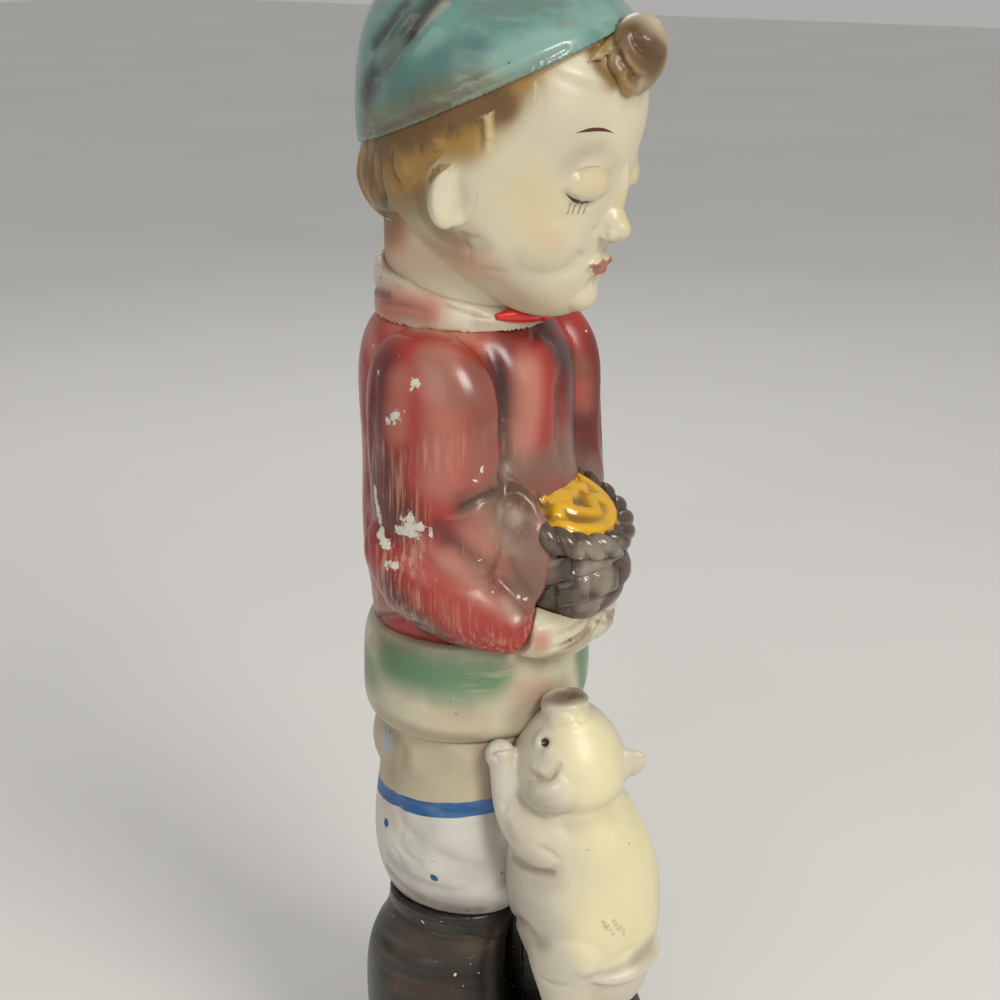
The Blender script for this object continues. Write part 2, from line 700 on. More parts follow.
def makeTrousers():
    work = trouserWork
    trousers = form("castTrousers", ["trousers"], work)
    basecoat(trousers, "white")
    handWork(trousers, work)
    settle(trousers)
    band = work["band"]
    points = clay[trousers.name]["points"] / mm
    above = points[:, 2] - band["height"] - points[:, :2] @ np.array(band["slope"])
    blendCoat(trousers, "cream", np.clip(above / band["creamFade"] + 0.5, 0, 1))
    coats(trousers, work)
    coats(trousers, work, ["lateSprays"])
    spots = seen(trousers, *work["diamonds"]) + around(trousers, *work["roundDiamonds"])
    clay[trousers.name]["marks"].update(bandFar=above, dotFar=farFrom(trousers, spots))
    dry(trousers)

    def trim(g, colour):
        half, soft = band["width"] / 2, band["soft"]
        wave = g.wander(g.noise(g.place(), band["waveScale"], 2), band["wave"])
        off = g.sum("ABSOLUTE", g.sum("ADD", g.mark("bandFar"), wave))
        pale = g.ramp(g.noise(g.place((1, 1, 6)), band["paleScale"], 3), *band["pale"])
        shade = g.mix(pale, colour4("blue"), colour4("bluePale"))
        stripe = g.mix(band["paleAmount"], colour4("blue"), shade)
        colour = g.mix(g.ramp(off, half + soft, half - soft), colour, stripe)
        diamond = work["diamond"]
        ragged = g.wander(g.noise(g.place(), diamond["scale"], 2), diamond["ragged"])
        inside = g.ramp(g.sum("ADD", g.mark("dotFar"), ragged), *diamond["edge"])
        return g.mix(inside, colour, colour4("blue"))

    wear(trousers, glaze("trouserPaint", work["finish"], trim))


makeTrousers()

# Tunic below the jersey
tunicWork = {
    "voxel": 0.85, "smooth": 3,
    "lines": [
        (5.0, 0.7, [(372, 700), (395, 716), (430, 728), (480, 730), (520, 728)]),
        (3.0, -0.5, [(384, 690), (412, 702), (450, 708), (490, 704)]),
        (3.0, -0.6, [(560, 648), (568, 670), (566, 690)]),
        (6.0, 0.5, [(520, 664), (536, 690), (528, 712)]),
        (3.0, -0.4, [(420, 650), (470, 664), (520, 664)]),
    ],
    "roundLines": [
        (5.0, 0.7, [(-30, 175), (-60, 174), (-90, 174), (-120, 174), (-150, 174), (-180, 174)]),
        (3.0, -0.6, [(-40, 183), (-80, 181), (-120, 182), (-160, 183)]),
        (3.5, -0.8, [(-70, 205), (-72, 190), (-66, 178)]),
        (3.5, -0.8, [(150, 204), (152, 190), (148, 178)]),
        (3.5, -0.7, [(-140, 204), (-142, 188), (-138, 178)]),
    ],
    "sprays": [
        ("green", 13, 0.8, [(392, 664), (430, 676), (485, 680)]),
        ("green", 9, 0.55, [(385, 655), (420, 668), (500, 672)]),
        ("green", 8, 0.85, [(580, 655), (583, 680)]),
        ("green", 8, 0.3, [(440, 700), (465, 706)]),
        ("mauve", 10, 0.45, [(522, 716), (540, 704), (560, 694)]),
        ("rose", 8, 0.3, [(520, 690), (545, 690)]),
        ("mauve", 5, 0.4, [(380, 712), (420, 732), (470, 740), (500, 742)]),
        ("umber", 5, 0.3, [(372, 640), (410, 648), (450, 658)]),
        ("rose", 8, 0.2, [(440, 720), (480, 722)]),
        ("mauve", 6, 0.25, [(470, 664), (540, 662)]),
    ],
    "roundSprays": [
        ("green", 13, 0.75, [(-25, 192), (-45, 191), (-70, 190), (-105, 191)]),
        ("green", 13, 0.7, [(118, 191), (150, 190), (185, 191), (215, 190), (232, 191)]),
        ("mauve", 5, 0.4, [(-20, 174), (-60, 173), (-120, 173), (-180, 173), (-250, 173)]),
        ("rose", 8, 0.25, [(-60, 178), (-100, 178)]),
        ("umber", 4, 0.35, [(-40, 206), (-90, 206), (-150, 206), (-200, 206), (-250, 206)]),
    ],
    "finish": {"rough": (0.34, 0.48), "mottle": 0.06, "grain": 0.25, "bump": 0.6,
               "specks": [("umber", 360, 0.79)],
               "streak": {"scale": (1, 1, 9), "size": 55, "amount": 0.45, "paint": "cream"}},
}


def makeTunic():
    tunic = form("tunicHem", ["tunic_skirt"], tunicWork)
    basecoat(tunic, "hem")
    handWork(tunic, tunicWork)
    coats(tunic, tunicWork)
    settle(tunic)
    dry(tunic)
    wear(tunic, glaze("tunicPaint", tunicWork["finish"]))


makeTunic()

# Jersey and sleeves
jerseyWork = {
    "voxel": 1.0, "smooth": 5,
    # the web of plaster between the near forearm and the basket, softened along a line
    "webs": [((-22.5, -5, 240), (14.5, 43, 53), (0, 0, 3)), ((-17, -8, 249), (16, 21, 24), (0, 0, 0))],
    "webLine": [(480, 515), (500, 530), (515, 548), (522, 580)], "webSoft": 26, "webTurns": 26,
    "calmLine": [(488, 520), (510, 540), (522, 575)], "calmWidth": 24,
    "wash": ("bark", 0.6, 0.5, 1.6),
    "lines": [
        (5.0, -1.6, [(470, 338), (490, 352), (501, 385), (503, 425), (500, 462), (488, 490)]),
        (7.0, 1.0, [(488, 360), (492, 400), (490, 440)]),
        (5.5, -1.5, [(561, 352), (560, 395), (561, 440), (566, 470)]),
        (6.0, 0.8, [(530, 350), (528, 400), (530, 450)]),
        (2.4, -1.9, [(438, 517), (462, 509), (484, 498), (503, 489)]),
        (4.5, 1.0, [(450, 500), (472, 490), (490, 478)]),
        (4.0, 0.8, [(455, 527), (480, 520), (505, 512)]),
        (3.0, -1.0, [(377, 360), (373, 400), (371, 440), (374, 480)]),
        (2.0, -0.7, [(364, 330), (366, 400), (367, 480), (368, 560), (368, 605)]),
        (2.6, -1.2, [(366, 610), (397, 618), (425, 628), (445, 638)]),
        (4.0, 0.7, [(370, 600), (400, 608), (425, 618)]),
        (3.0, -0.8, [(480, 322), (505, 328), (530, 330), (545, 322)]),
        (3.0, -0.9, [(530, 345), (538, 333), (550, 338), (552, 348)]),
        (3.5, 0.8, [(535, 355), (545, 345), (556, 352)]),
        (2.6, -0.6, [(405, 540), (425, 558), (440, 580)]),
        (1.8, -0.9, [(498, 470), (515, 482), (530, 492), (545, 504)]),
        (1.8, -0.7, [(486, 484), (505, 500), (522, 512), (540, 524)]),
        (1.6, -0.6, [(480, 505), (498, 520), (508, 535)]),
        (2.5, 0.7, [(492, 478), (510, 492), (530, 506)]),
        (2.6, -0.5, [(440, 535), (458, 552), (466, 575)]),
        (2.6, -0.5, [(425, 500), (440, 512)]),
        (2.0, -0.8, [(503, 496), (520, 502), (532, 518)]),
        (7.0, 1.0, [(528, 528), (531, 541)]),
        (3.0, -0.5, [(425, 345), (450, 340), (470, 348)]),
        (2.0, -0.8, [(542, 607), (530, 622), (517, 640), (511, 648)]),
        (3.0, 0.7, [(536, 600), (522, 618), (508, 638)]),
    ],
    "roundLines": [
        (5.0, -1.5, [(-62, 296), (-56, 280), (-53, 262), (-56, 248)]),
        (2.4, -1.6, [(-88, 248), (-76, 252), (-64, 256)]),
        (3.5, 0.8, [(-86, 242), (-74, 246), (-62, 250)]),
        (4.0, -1.1, [(-122, 296), (-126, 270), (-124, 245), (-118, 225)]),
        (4.0, -1.1, [(122, 296), (126, 270), (124, 245), (118, 225)]),
        (3.0, -0.8, [(180, 305), (181, 270), (179, 240), (180, 212)]),
        (3.0, -0.9, [(130, 209), (155, 211), (180, 209), (205, 211), (230, 209)]),
        (4.5, 0.7, [(130, 214), (160, 216), (190, 214), (228, 216)]),
        (3.0, -0.8, [(150, 300), (165, 292), (180, 290), (195, 292), (210, 300)]),
        (3.5, -0.7, [(160, 235), (175, 228), (190, 232)]),
        (3.5, -0.6, [(145, 260), (160, 250), (170, 252)]),
        (3.5, -0.6, [(215, 262), (200, 250), (190, 254)]),
        (2.6, -0.7, [(-95, 262), (-100, 250), (-96, 240)]),
        (2.6, -0.6, [(-80, 230), (-72, 222), (-60, 218)]),
    ],
    "sprays": [
        ("maroon", 13, 0.8, [(380, 365), (374, 420), (376, 480), (386, 520)]),
        ("maroon", 10, 0.85, [(502, 360), (507, 410), (503, 460)]),
        ("bark", 2.6, 0.6, [(502, 370), (506, 410), (502, 455)]),
        ("maroon", 13, 0.85, [(566, 360), (572, 405), (582, 450)]),
        ("maroon", 10, 0.75, [(600, 400), (604, 440), (608, 480)]),
        ("bark", 9, 0.8, [(545, 325), (556, 345), (575, 368)]),
        ("bark", 6, 0.55, [(470, 325), (505, 333), (540, 335)]),
        ("maroon", 12, 0.8, [(386, 468), (392, 495), (402, 515)]),
        ("redPale", 12, 0.45, [(440, 360), (445, 420), (440, 480)]),
        ("redPale", 10, 0.55, [(528, 370), (527, 410), (520, 450)]),
        ("redPale", 8, 0.35, [(400, 380), (396, 430)]),
        ("mauve", 9, 0.45, [(430, 360), (448, 378), (460, 395)]),
        ("mauve", 9, 0.55, [(478, 372), (486, 420), (480, 470)]),
        ("rose", 8, 0.45, [(585, 370), (588, 400)]),
        ("bark", 8, 0.75, [(470, 505), (495, 498), (512, 490)]),
        ("mauve", 11, 0.85, [(500, 470), (530, 470), (560, 465), (600, 480)]),
        ("mauve", 17, 0.9, [(492, 514), (508, 532), (530, 545)]),
        ("mauve", 14, 0.9, [(512, 490), (535, 502), (550, 514)]),
        ("mauve", 17, 0.9, [(490, 545), (510, 565), (530, 586)]),
        ("umber", 6, 0.55, [(500, 484), (520, 488), (538, 502)]),
        ("bone", 7, 0.2, [(498, 528), (514, 546)]),
        ("rose", 8, 0.35, [(478, 522), (492, 542)]),
        ("umber", 2.2, 0.35, [(496, 508), (512, 514), (528, 524)]),
        ("mauve", 8, 0.6, [(518, 528), (530, 545)]),
        ("redPale", 13, 0.3, [(430, 560), (470, 600)]),
        ("ivoryWarm", 5, 0.35, [(420, 327), (442, 331), (466, 335)]),
        ("rose", 8, 0.4, [(470, 535), (482, 550), (496, 566)]),
        ("umber", 3, 0.6, [(504, 486), (518, 498), (534, 510)]),
        ("umber", 3, 0.5, [(500, 506), (514, 518), (528, 530)]),
        ("umber", 2.6, 0.45, [(512, 560), (520, 578), (532, 594)]),
        ("umber", 5, 0.6, [(505, 482), (525, 496), (540, 506)]),
        ("bone", 4, 0.4, [(500, 508), (515, 520)]),
        ("bone", 4, 0.45, [(505, 600), (515, 618)]),
        ("mauve", 7, 0.6, [(520, 600), (530, 610)]),
        ("maroon", 10, 0.85, [(384, 586), (412, 616), (446, 641), (488, 655)]),
        ("bark", 5, 0.55, [(392, 602), (424, 628), (470, 652)]),
        ("maroon", 6, 0.6, [(440, 530), (470, 560), (500, 590)]),
        ("mauve", 7, 0.7, [(368, 600), (395, 610), (425, 625)]),
        ("rose", 5, 0.6, [(370, 330), (368, 380), (366, 440), (367, 500), (366, 560)]),
        ("rose", 8, 0.5, [(400, 322), (440, 332), (480, 338)]),
        ("red", 10, 0.7, [(420, 580), (450, 610), (490, 636)]),
        ("redPale", 7, 0.45, [(450, 560), (480, 585), (505, 610)]),
    ],
    "roundSprays": [
        ("maroon", 10, 0.7, [(-54, 296), (-52, 275), (-54, 255)]),
        ("maroon", 9, 0.65, [(-120, 295), (-125, 265), (-120, 235)]),
        ("maroon", 9, 0.65, [(118, 290), (122, 265), (120, 235)]),
        ("redPale", 13, 0.45, [(-85, 295), (-90, 270), (-88, 255)]),
        ("redPale", 16, 0.35, [(160, 285), (170, 260), (165, 240)]),
        ("redPale", 14, 0.35, [(200, 280), (195, 255)]),
        ("mauve", 8, 0.6, [(130, 209), (160, 210), (190, 209), (230, 209)]),
        ("bark", 7, 0.55, [(-88, 248), (-72, 252), (-60, 256)]),
        ("mauve", 12, 0.7, [(-50, 235), (-42, 250), (-30, 262), (-10, 268)]),
        ("maroon", 8, 0.6, [(-100, 222), (-80, 212), (-62, 208)]),
        ("maroon", 6, 0.4, [(180, 300), (180, 260), (180, 220)]),
        ("rose", 9, 0.4, [(140, 304), (180, 304), (220, 304)]),
    ],
    "chips": [
        (2.4, [(413, 385), (417, 382)]), (3.0, [(388, 420), (396, 415)]),
        (2.6, [(375, 490), (377, 505), (380, 520)]), (3.0, [(383, 528), (386, 545)]),
        (4.2, [(408, 520), (412, 532)]), (3.0, [(398, 530), (420, 528)]), (2.4, [(386, 563), (396, 565)]),
        (1.8, [(430, 533)]), (1.5, [(515, 598)]), (1.4, [(527, 598)]),
        (1.3, [(378, 372)]), (1.5, [(482, 470)]),
    ],
    "backChips": [
        (3.0, (-95, 240)), (2.0, (-84, 275)), (2.2, (150, 220)), (1.8, (205, 296)), (2.4, (-135, 262)),
    ],
    "finish": {"rough": (0.24, 0.40), "mottle": 0.10, "grain": 0.16, "bump": 0.55, "coat": 0.25,
               "coatRough": 0.22, "specks": [("plaster", 300, 0.785)],
               "chips": {"scale": 420, "ragged": 3.4, "edge": (0.5, 0.62), "start": (0.02, 0.12),
                         "rough": 0.35, "depth": 0.8},
               "streak": {"scale": (1, 1, 0.06), "size": 700, "amount": 0.75, "paint": "redPale",
                          "low": 0.46, "high": 0.64, "relief": 0.3, "below": 0.292, "marked": "streak"}},
}


def makeJersey():
    work = jerseyWork
    webs = [lump(*web) for web in work["webs"]]
    jersey = form("knittedJersey", ["jersey", "sleeve_right", "sleeve_left"], work, webs)
    ease(jersey, [(seen(jersey, *work["webLine"]), work["webSoft"])], work["webTurns"])
    basecoat(jersey, "red")
    handWork(jersey, work)
    coats(jersey, work)
    crevices(jersey, *work["wash"])
    settle(jersey)
    marks = clay[jersey.name]["marks"]
    mark(jersey, "calm", seen(jersey, *work["calmLine"]), work["calmWidth"])
    marks["streak"] = 1 - marks.pop("calm")
    for width, pixels in work["chips"]:
        mark(jersey, "chip", seen(jersey, *pixels), width)
    for width, place in work["backChips"]:
        mark(jersey, "chip", around(jersey, place), width)
    dry(jersey)
    wear(jersey, glaze("jerseyPaint", work["finish"]))


makeJersey()

# Basket, its braided rim and what fills it
basketWork = {
    "voxel": 0.55, "smooth": 2,
    "foot": (0, -17.5, 215.1), "mouth": (0, -17.5, 249.1), "tilt": 24, "height": 34,
    "columns": 11, "columnEdge": 0.5, "rows": 3.2, "rowEdge": 0.45, "rowLean": 0.011, "groove": 2.4,
    "plainFoot": 1.5, "footFade": 3, "wash": ("bark", 0.95, 0.7, 1.9),
    "sprays": [
        ("barkPale", 6, 0.6, [(588, 572), (592, 585), (600, 560)]),
        ("barkPale", 4, 0.5, [(611, 565), (606, 590)]),
        ("barkPale", 5, 0.45, [(585, 608), (600, 605)]),
        ("bark", 6, 0.7, [(570, 555), (566, 580)]),
        ("bark", 5, 0.6, [(530, 545), (528, 570)]),
        ("mauve", 5, 0.7, [(545, 560), (548, 575)]),
    ],
    "finish": {"rough": (0.14, 0.26), "mottle": 0.22, "grain": 0.12, "bump": 0.5, "coat": 0.4,
               "coatRough": 0.15, "specks": [("plaster", 330, 0.785)],
               "streak": {"scale": (1, 1, 1), "size": 130, "amount": 0.3, "paint": "barkPale"}},
}
braidWork = {
    "voxel": 0.5, "smooth": 1, "radius": 21.7, "strands": 19, "lead": 2.2, "edge": 0.55, "depth": 1.5,
    "rise": 0.3, "wash": ("bark", 0.95, 0.35, 1.2),
    "sprays": [
        ("barkPale", 5, 0.45, [(600, 540), (620, 548)]), ("barkPale", 5, 0.45, [(585, 552), (610, 560)]),
        ("barkPale", 5, 0.45, [(632, 545), (630, 555)]), ("mauve", 8, 0.6, [(500, 490), (515, 505)]),
    ],
}
heapWork = {
    "voxel": 0.5, "smooth": 2,
    # ropes of the heap: across and back from the middle of the mouth
    "ropes": [
        [(-15, 3), (-10, 11), (0, 15), (10, 11), (15, 2), (13, -8), (5, -14), (-6, -14), (-13, -8), (-15, 2)],
        [(-12, 5), (-7, 2), (-3, 6), (2, 9), (7, 5), (12, 7)],
        [(-12, -5), (-8, -9), (-3, -5), (1, 0), (6, -2), (9, -7), (5, -11)],
        [(-9, -1), (-4, -1), (-1, 3)], [(6, 1), (11, -1)],
    ],
    "ropeLevel": 9, "ropeWidth": 3.4, "ropeHeight": 1.9, "ropeTaper": 0.06, "ropeFoot": 0.7,
    "honeyTo": 16.2, "honeyFade": 2, "sink": 1.3, "flatFrom": 0.5, "flatShare": 0.6,
    "spread": 0.2, "spreadOver": 2,
    "finish": {"rough": (0.14, 0.24), "mottle": 0.12, "grain": 0.1, "bump": 0.4, "coat": 0.5,
               "coatRough": 0.12},
}


# A row of rounded ridges with narrow valleys: 1 on the ridge, 0 in the valley
def ripple(value, sharp):
    return np.abs(np.sin(math.pi * value)) ** sharp


# How far round a standing place each point lies, in whole turns, from the front to the child's left
def turnsRound(local):
    return np.arctan2(local[:, 0], -local[:, 1]) / (2 * math.pi)


def makeBasket(material):
    work = basketWork
    basket = form("wovenBasket", ["basket"], work)
    basecoat(basket, "taupe")
    held = clay[basket.name]
    local = localPoints(basket, turned(work["foot"]))
    row = (local[:, 2] / work["height"] + local[:, 1] * work["rowLean"]) * work["rows"]
    column = turnsRound(local) * work["columns"] + np.floor(row) % 2 * 0.5
    cells = np.minimum(ripple(column, work["columnEdge"]), ripple(row, work["rowEdge"]))
    radius = np.maximum(np.linalg.norm(local[:, :2], axis=1), 1)
    outer = np.clip((held["normals"][:, :2] * local[:, :2]).sum(1) / radius, 0, 1)
    side = outer * np.clip((local[:, 2] - work["plainFoot"]) / work["footFade"], 0, 1)
    held["push"] += (cells - 1) * work["groove"] * side * mm
    crevices(basket, *work["wash"])
    coats(basket, work)
    settle(basket)
    dry(basket)
    wear(basket, material)


def makeBraid(material, mouth):
    work = braidWork
    rim = form("basketBraid", ["basket_rim"], work)
    basecoat(rim, "taupe")
    local = localPoints(rim, mouth)
    roll = np.arctan2(local[:, 2], np.linalg.norm(local[:, :2], axis=1) - work["radius"])
    strands = turnsRound(local) * work["strands"] + roll / math.pi * work["lead"] / 2
    braid = ripple(strands, work["edge"])
    clay[rim.name]["push"] += ((braid - 1) * work["depth"] + braid * work["rise"]) * mm
    crevices(rim, *work["wash"])
    coats(rim, work)
    settle(rim)
    dry(rim)
    wear(rim, material)


def makeHeap(mouth):
    work = heapWork
    fill = form("basketHeap", ["basket_fill"], work)
    basecoat(fill, "yellow")
    for rope in work["ropes"]:
        spots = [mouth @ Vector((x, -y, work["ropeLevel"])) * mm for x, y in rope]
        tool(fill, spots, work["ropeWidth"], work["ropeHeight"], taper=work["ropeTaper"])
    held = clay[fill.name]
    high = work["ropeHeight"] * mm
    held["push"] = np.minimum(held["push"], high)
    out = np.linalg.norm(localPoints(fill, mouth)[:, :2], axis=1)
    hollow = np.clip(1 - held["push"] / (work["ropeFoot"] * high), 0, 1)
    hollow = hollow * np.clip((work["honeyTo"] - out) / work["honeyFade"], 0, 1)
    blendCoat(fill, "honey", hollow)
    held["push"] -= work["sink"] * mm * hollow
    held["points"] = held["points"] + held["normals"] * held["push"][:, None]
    held["push"][:] = 0
    # the heap is pressed flatter, and spreads a little as it is
    local = localPoints(fill, mouth)
    rise = np.clip(local[:, 2] - work["flatFrom"], 0, None)
    local[:, 2] -= rise * (1 - work["flatShare"])
    local[:, :2] *= 1 + work["spread"] * np.clip(rise / work["spreadOver"], 0, 1)[:, None]
    held["points"] = (local @ np.array(mouth.to_3x3()).T + np.array(mouth.translation)) * mm
    settle(fill)
    applyModifier(fill, "SMOOTH", factor=0.5, iterations=work["smooth"])
    takeUp(fill)
    dry(fill)
    wear(fill, glaze("fillPaint", work["finish"]))


basketMouth = turned(basketWork["mouth"], (basketWork["tilt"], 0, 0))
basketPaint = glaze("basketPaint", basketWork["finish"])
makeBasket(basketPaint)
makeBraid(basketPaint, basketMouth)
makeHeap(basketMouth)

# Hands
handsLook = {
    "voxel": 0.6, "smooth": 3,
    "bothSides": [
        (1.6, -1.0, [(596, 617), (590, 632), (574, 646), (556, 652)]),
        (1.4, -0.8, [(603, 608), (600, 622), (588, 640)]),
        (1.6, -0.8, [(548, 640), (565, 632), (580, 620), (584, 612)]),
        (5.0, 0.9, [(528, 640), (548, 628), (568, 618)]),
        (1.8, -1.3, [(592, 612), (588, 628), (572, 641), (548, 649)]),
    ],
    "wash": ("mauve", 0.7, 0.3, 1.0),
    "bothSprays": [
        ("rose", 6, 0.7, [(522, 628), (540, 640)]), ("mauve", 5, 0.5, [(530, 606), (560, 606), (600, 604)]),
        ("cream", 6, 0.5, [(560, 625), (585, 622)]), ("mauve", 4, 0.5, [(520, 655), (560, 654), (590, 636)]),
    ],
    "finish": {"rough": (0.3, 0.44), "mottle": 0.06, "grain": 0.14, "bump": 0.5, "coat": 0.1,
               "specks": [("umber", 380, 0.79)]},
}


def makeHands():
    hands = form("cuppedHands", ["hand_right", "hand_left"], handsLook)
    basecoat(hands, "ivory")
    handWork(hands, handsLook)
    crevices(hands, *handsLook["wash"])
    coats(hands, handsLook)
    settle(hands)
    dry(hands)
    wear(hands, glaze("handPaint", handsLook["finish"]))


makeHands()

# Head, ears and neck
headPlace, headTilt = (0, 6, 371.5), (13, 0, 4)
headStand = turned(headPlace, headTilt)


# The point on the front of the head at x to the left and z up from its middle
def faceSpot(piece, x, z):
    start = headStand @ Vector((x, -90, z)) * mm
    heading = (headStand.to_3x3() @ Vector((0, 1, 0))).normalized()
    return clay[piece.name]["tree"].ray_cast(start, heading)[0] or Vector(start)


def faceLine(piece, width, depth, places, both):
    for side in ((1, -1) if both else (1,)):
        tool(piece, [faceSpot(piece, side * x, z) for x, z in places], width, depth, taper=0.25)


def faceSpray(piece, colour, width, amount, places, both):
    for side in ((1, -1) if both else (1,)):
        spray(piece, [faceSpot(piece, side * x, z) for x, z in places], colour, width, amount)


headWork = {
    "voxel": 0.68, "smooth": 6,
    # place and size in the head's own millimetres, x and the turns mirrored where both is true
    "lumps": [
        (False, (0, -42.6, -7), (6.6, 8, 22), (0, 0, 0)),
        (False, (0, -46.6, -18.0), (7.8, 8, 7.8), (0, 0, 0)),
        (True, (3.5, -44.9, -19.4), (5.2, 6.4, 5.2), (0, 0, 0)),
        (False, (0, -37.6, -42.0), (18, 13, 12), (0, 0, 0)),
        (True, (2.6, -43.3, -29.3), (7.8, 5, 3.4), (0, 10, 0)),
        (False, (0, -43.0, -32.8), (9.6, 5.4, 4.0), (0, 0, 0)),
    ],
    # where a wet finger softens the skin: the lids, and lines at the jaw and in front of the ear
    "lidEnds": (12, 20), "lidLevel": -3, "lidSoft": 9, "softTurns": 16,
    "softLines": [(9, [(402, 212), (425, 243), (450, 267), (475, 284)]),
                  (7, [(466, 156), (476, 172), (478, 192), (472, 214)])],
    "ear": {"front": (-0.5, 0.5), "reach": (1.5, 1.15), "hollow": 0.22, "hollowAt": (0.05, 0.1),
            "hollowSize": (0.35, 0.4)},
    # lines on the face in the head's own millimetres, mirrored, and those across its middle
    "faceLines": [
        (6.5, -1.2, [(10, 3.0), (14, 5.5), (20, 4.5), (24, 1)]),
        (2.6, 0.7, [(9.2, -1.5), (12.5, 1.6), (16.5, 2.7), (20.5, 1.5), (23.8, -1.8)]),
        (2.2, -0.6, [(8.8, -5.2), (12, -8.0), (16.2, -9.0), (20.4, -7.9), (24, -4.6)]),
        (4.5, -0.6, [(11, -11.5), (16, -12.8), (21, -11.3)]),
        (2.0, -0.8, [(6.8, -15.4), (8.2, -18.6), (7.2, -22.0)]),
        (1.3, -0.9, [(1.9, -22.6), (3.8, -22.4)]),
        (6.0, -0.7, [(11.5, -24.5), (13.0, -29.5), (12.0, -34)]),
    ],
    "middleLines": [
        (2.0, -0.6, [(0, -23.4), (0, -26.6)]),
        (1.1, -0.9, [(-8.4, -30.6), (-5, -30.7), (-2, -31.1), (0, -30.7), (2, -31.1), (5, -30.7),
                     (8.4, -30.6)]),
        (3.6, -0.9, [(-5, -36.6), (0, -37.2), (5, -36.6)]),
    ],
    # behind and under the ears
    "bothSides": [
        (2.4, -0.8, [(421, 184), (423, 206), (436, 226), (458, 237)]),
        (2.0, -0.6, [(446, 228), (464, 236), (486, 240)]),
    ],
    # on the neck, then over the forehead and along the lock before the ear
    "lines": [
        (1.6, -0.8, [(463, 238), (470, 252), (470, 270)]),
        (2.2, -0.3, [(470, 268), (490, 271), (508, 272)]),
        (3.0, -0.5, [(545, 72), (575, 84), (610, 94), (645, 100)]),
        (3.5, 0.5, [(556, 66), (590, 78), (630, 88)]),
        (2.2, 0.7, [(530, 78), (534, 98), (524, 122), (512, 140)]),
        (2.0, -0.5, [(538, 82), (542, 104), (530, 130)]),
        (2.4, 0.7, [(484, 104), (488, 122), (488, 142), (485, 160)]),
        (1.5, -0.8, [(478, 118), (481, 138), (479, 156)]),
    ],
    "faceSprays": [
        ("ivoryWarm", 14, 0.55, [(26, -18), (30, -8)]), ("ivoryWarm", 7, 0.6, [(12, -2), (20, -2)]),
        ("rose", 6, 0.12, [(22, -22), (26, -20)]), ("rose", 9, 0.16, [(9, -42), (20, -43)]),
        ("mauve", 6, 0.16, [(10, 4), (17, 7), (24, 3)]),
    ],
    "middleSprays": [("ivoryWarm", 6, 0.5, [(0, -8), (0, -18)])],
    "bothSprays": [
        ("ivory", 11, 0.95, [(444, 178), (446, 206)]),
        ("umber", 5, 0.6, [(419, 190), (423, 212), (438, 231), (462, 240)]),
        ("olive", 11, 0.5, [(410, 205), (426, 236), (450, 248)]),
        ("rose", 15, 0.32, [(395, 248), (430, 256), (468, 264)]),
        ("rose", 12, 0.14, [(465, 256), (490, 268)]),
        ("mauve", 4, 0.15, [(457, 188), (462, 204)]),
        ("grey", 15, 0.25, [(545, 120), (575, 145)]),
        ("olive", 6, 0.25, [(470, 232), (482, 245)]),
        ("mauve", 5, 0.12, [(560, 84), (600, 92), (640, 100)]),
        ("bone", 6, 0.5, [(434, 178), (436, 200)]),
        ("hairBrown", 6, 0.5, [(500, 98), (508, 108)]),
    ],
    "lateSprays": [
        ("ochre", 6, 0.85, [(591, 34), (596, 56), (610, 78)]),
        ("hairBrown", 3, 0.6, [(589, 40), (598, 66), (614, 84)]),
    ],
    # painted curves: middle, level, bend, inner and outer end, half width
    "brow": (17.5, 14.0, -0.035, 10, 25.5, 0.62),
    "lashLine": (16.4, -8.9, 0.062, 8.6, 24.6, 0.62),
    "lidFold": (16.4, 2.7, -0.07, 9.5, 23.5, 0.3), "lidFoldAmount": 0.3,
    "curveEdge": (-0.05, 0.12), "curveTaper": (0.5, 0.35), "front": (-22, -26),
    "lashes": {"count": 4, "first": 12.3, "gap": 1.9, "lean": -0.18, "top": (-9.0, -9.6),
               "tip": (-13.4, -12.4), "edge": (0.34, 0.1), "amount": 0.75},
    "lips": {"peak": 2.6, "slope": 0.42, "top": (-27.6, -28.2), "upperEnd": (-31.0, -30.6),
             "lowerStart": (-30.2, -30.8), "curve": 0.11, "bottom": (-35.2, -34.6), "corner": (7.6, 6.6),
             "amount": 0.8},
    "finish": {"rough": (0.30, 0.42), "mottle": 0.045, "mottleScale": 34, "grain": 0.08, "bump": 0.4,
               "coat": 0.12, "coatRough": 0.3},
}
hairline = {"drop": 11.7, "slope": 53, "edge": 11, "sink": 0.9, "front": (-20, -33), "fade": (-8, 3)}


# How far each point of a piece lies behind the line where the hair starts, with its place in the head
def behindHairline(piece):
    local = localPoints(piece, headStand)
    slope = math.radians(hairline["slope"])
    return local[:, 1] * math.sin(slope) + (local[:, 2] + hairline["drop"]) * math.cos(slope), local


# The hair's colour fades over the line into the skin, the same on both pieces
def hairTint(piece):
    off, local = behindHairline(piece)
    back, front = hairline["front"]
    blendCoat(piece, "ochre", eased(between(off, *hairline["fade"]) * between(local[:, 1], front, back)))


